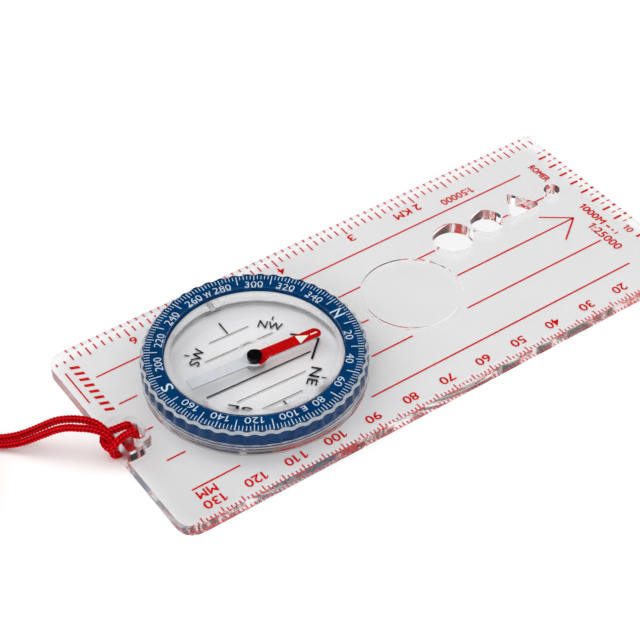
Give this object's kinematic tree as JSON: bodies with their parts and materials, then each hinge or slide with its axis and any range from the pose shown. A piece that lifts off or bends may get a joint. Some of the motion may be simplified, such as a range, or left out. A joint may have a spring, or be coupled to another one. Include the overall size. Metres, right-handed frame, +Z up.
{
  "type": "baseplate compass",
  "caption": "Clear rectangular baseplate compass with a turning fluted dial, liquid capsule, floating needle, magnifier, stencil holes and a corded lanyard.",
  "frame": {"origin": "centre of the plate's underside", "axes": "+Y is the direction of travel, along the plate's length; +X points to the long edge with the millimetre scale; +Z points up out of the plate"},
  "size_m": [0.06, 0.1875, 0.0099],
  "materials": {
    "clear_acrylic": "polished clear acrylic with red print on its underside",
    "clear_dial": "polished clear plastic",
    "clear_capsule": "polished clear plastic, the base printed in black",
    "blue_plastic": "satin blue with white print",
    "silicone": "translucent, satin",
    "plug_plastic": "satin",
    "white_plastic": "gloss",
    "brass": "turned",
    "pin_steel": "ground and polished",
    "painted_steel": "gloss red and pale grey paint on thin steel, with a luminous mark",
    "hub_plastic": "satin",
    "jewel": "polished synthetic sapphire",
    "black_plastic": "gloss",
    "red_braid": "woven polyester braid"
  },
  "bodies": {
    "plate": {"baseplate": "clear_acrylic", "drag_ring": "silicone", "lanyard_hitch": "red_braid", "lanyard_strand_a": "red_braid", "lanyard_strand_b": "red_braid", "lanyard_coil": "red_braid", "lanyard_knot": "red_braid"},
    "dial": {"dial_ring": "clear_dial", "scale_ring": "blue_plastic", "capsule_cover": "clear_capsule", "capsule_base": "clear_capsule", "capsule_gasket": "silicone", "fill_plug": "plug_plastic", "retaining_ring": "white_plastic", "pivot_seat": "brass", "pivot_pin": "pin_steel"},
    "needle": {"needle_blade": "painted_steel", "bearing_hub": "hub_plastic", "jewel_bearing": "jewel", "hub_cap": "black_plastic"}
  },
  "joints": [
    {"name": "dial_turn", "type": "hinge", "parent": "plate", "child": "dial", "pos_m": [0, -0.0328, 0.005], "axis": [0, 0, 1], "continuous": true},
    {"name": "needle_swing", "type": "hinge", "parent": "dial", "child": "needle", "pos_m": [0, -0.0328, 0.005], "axis": [0, 0, 1], "continuous": true}
  ]
}
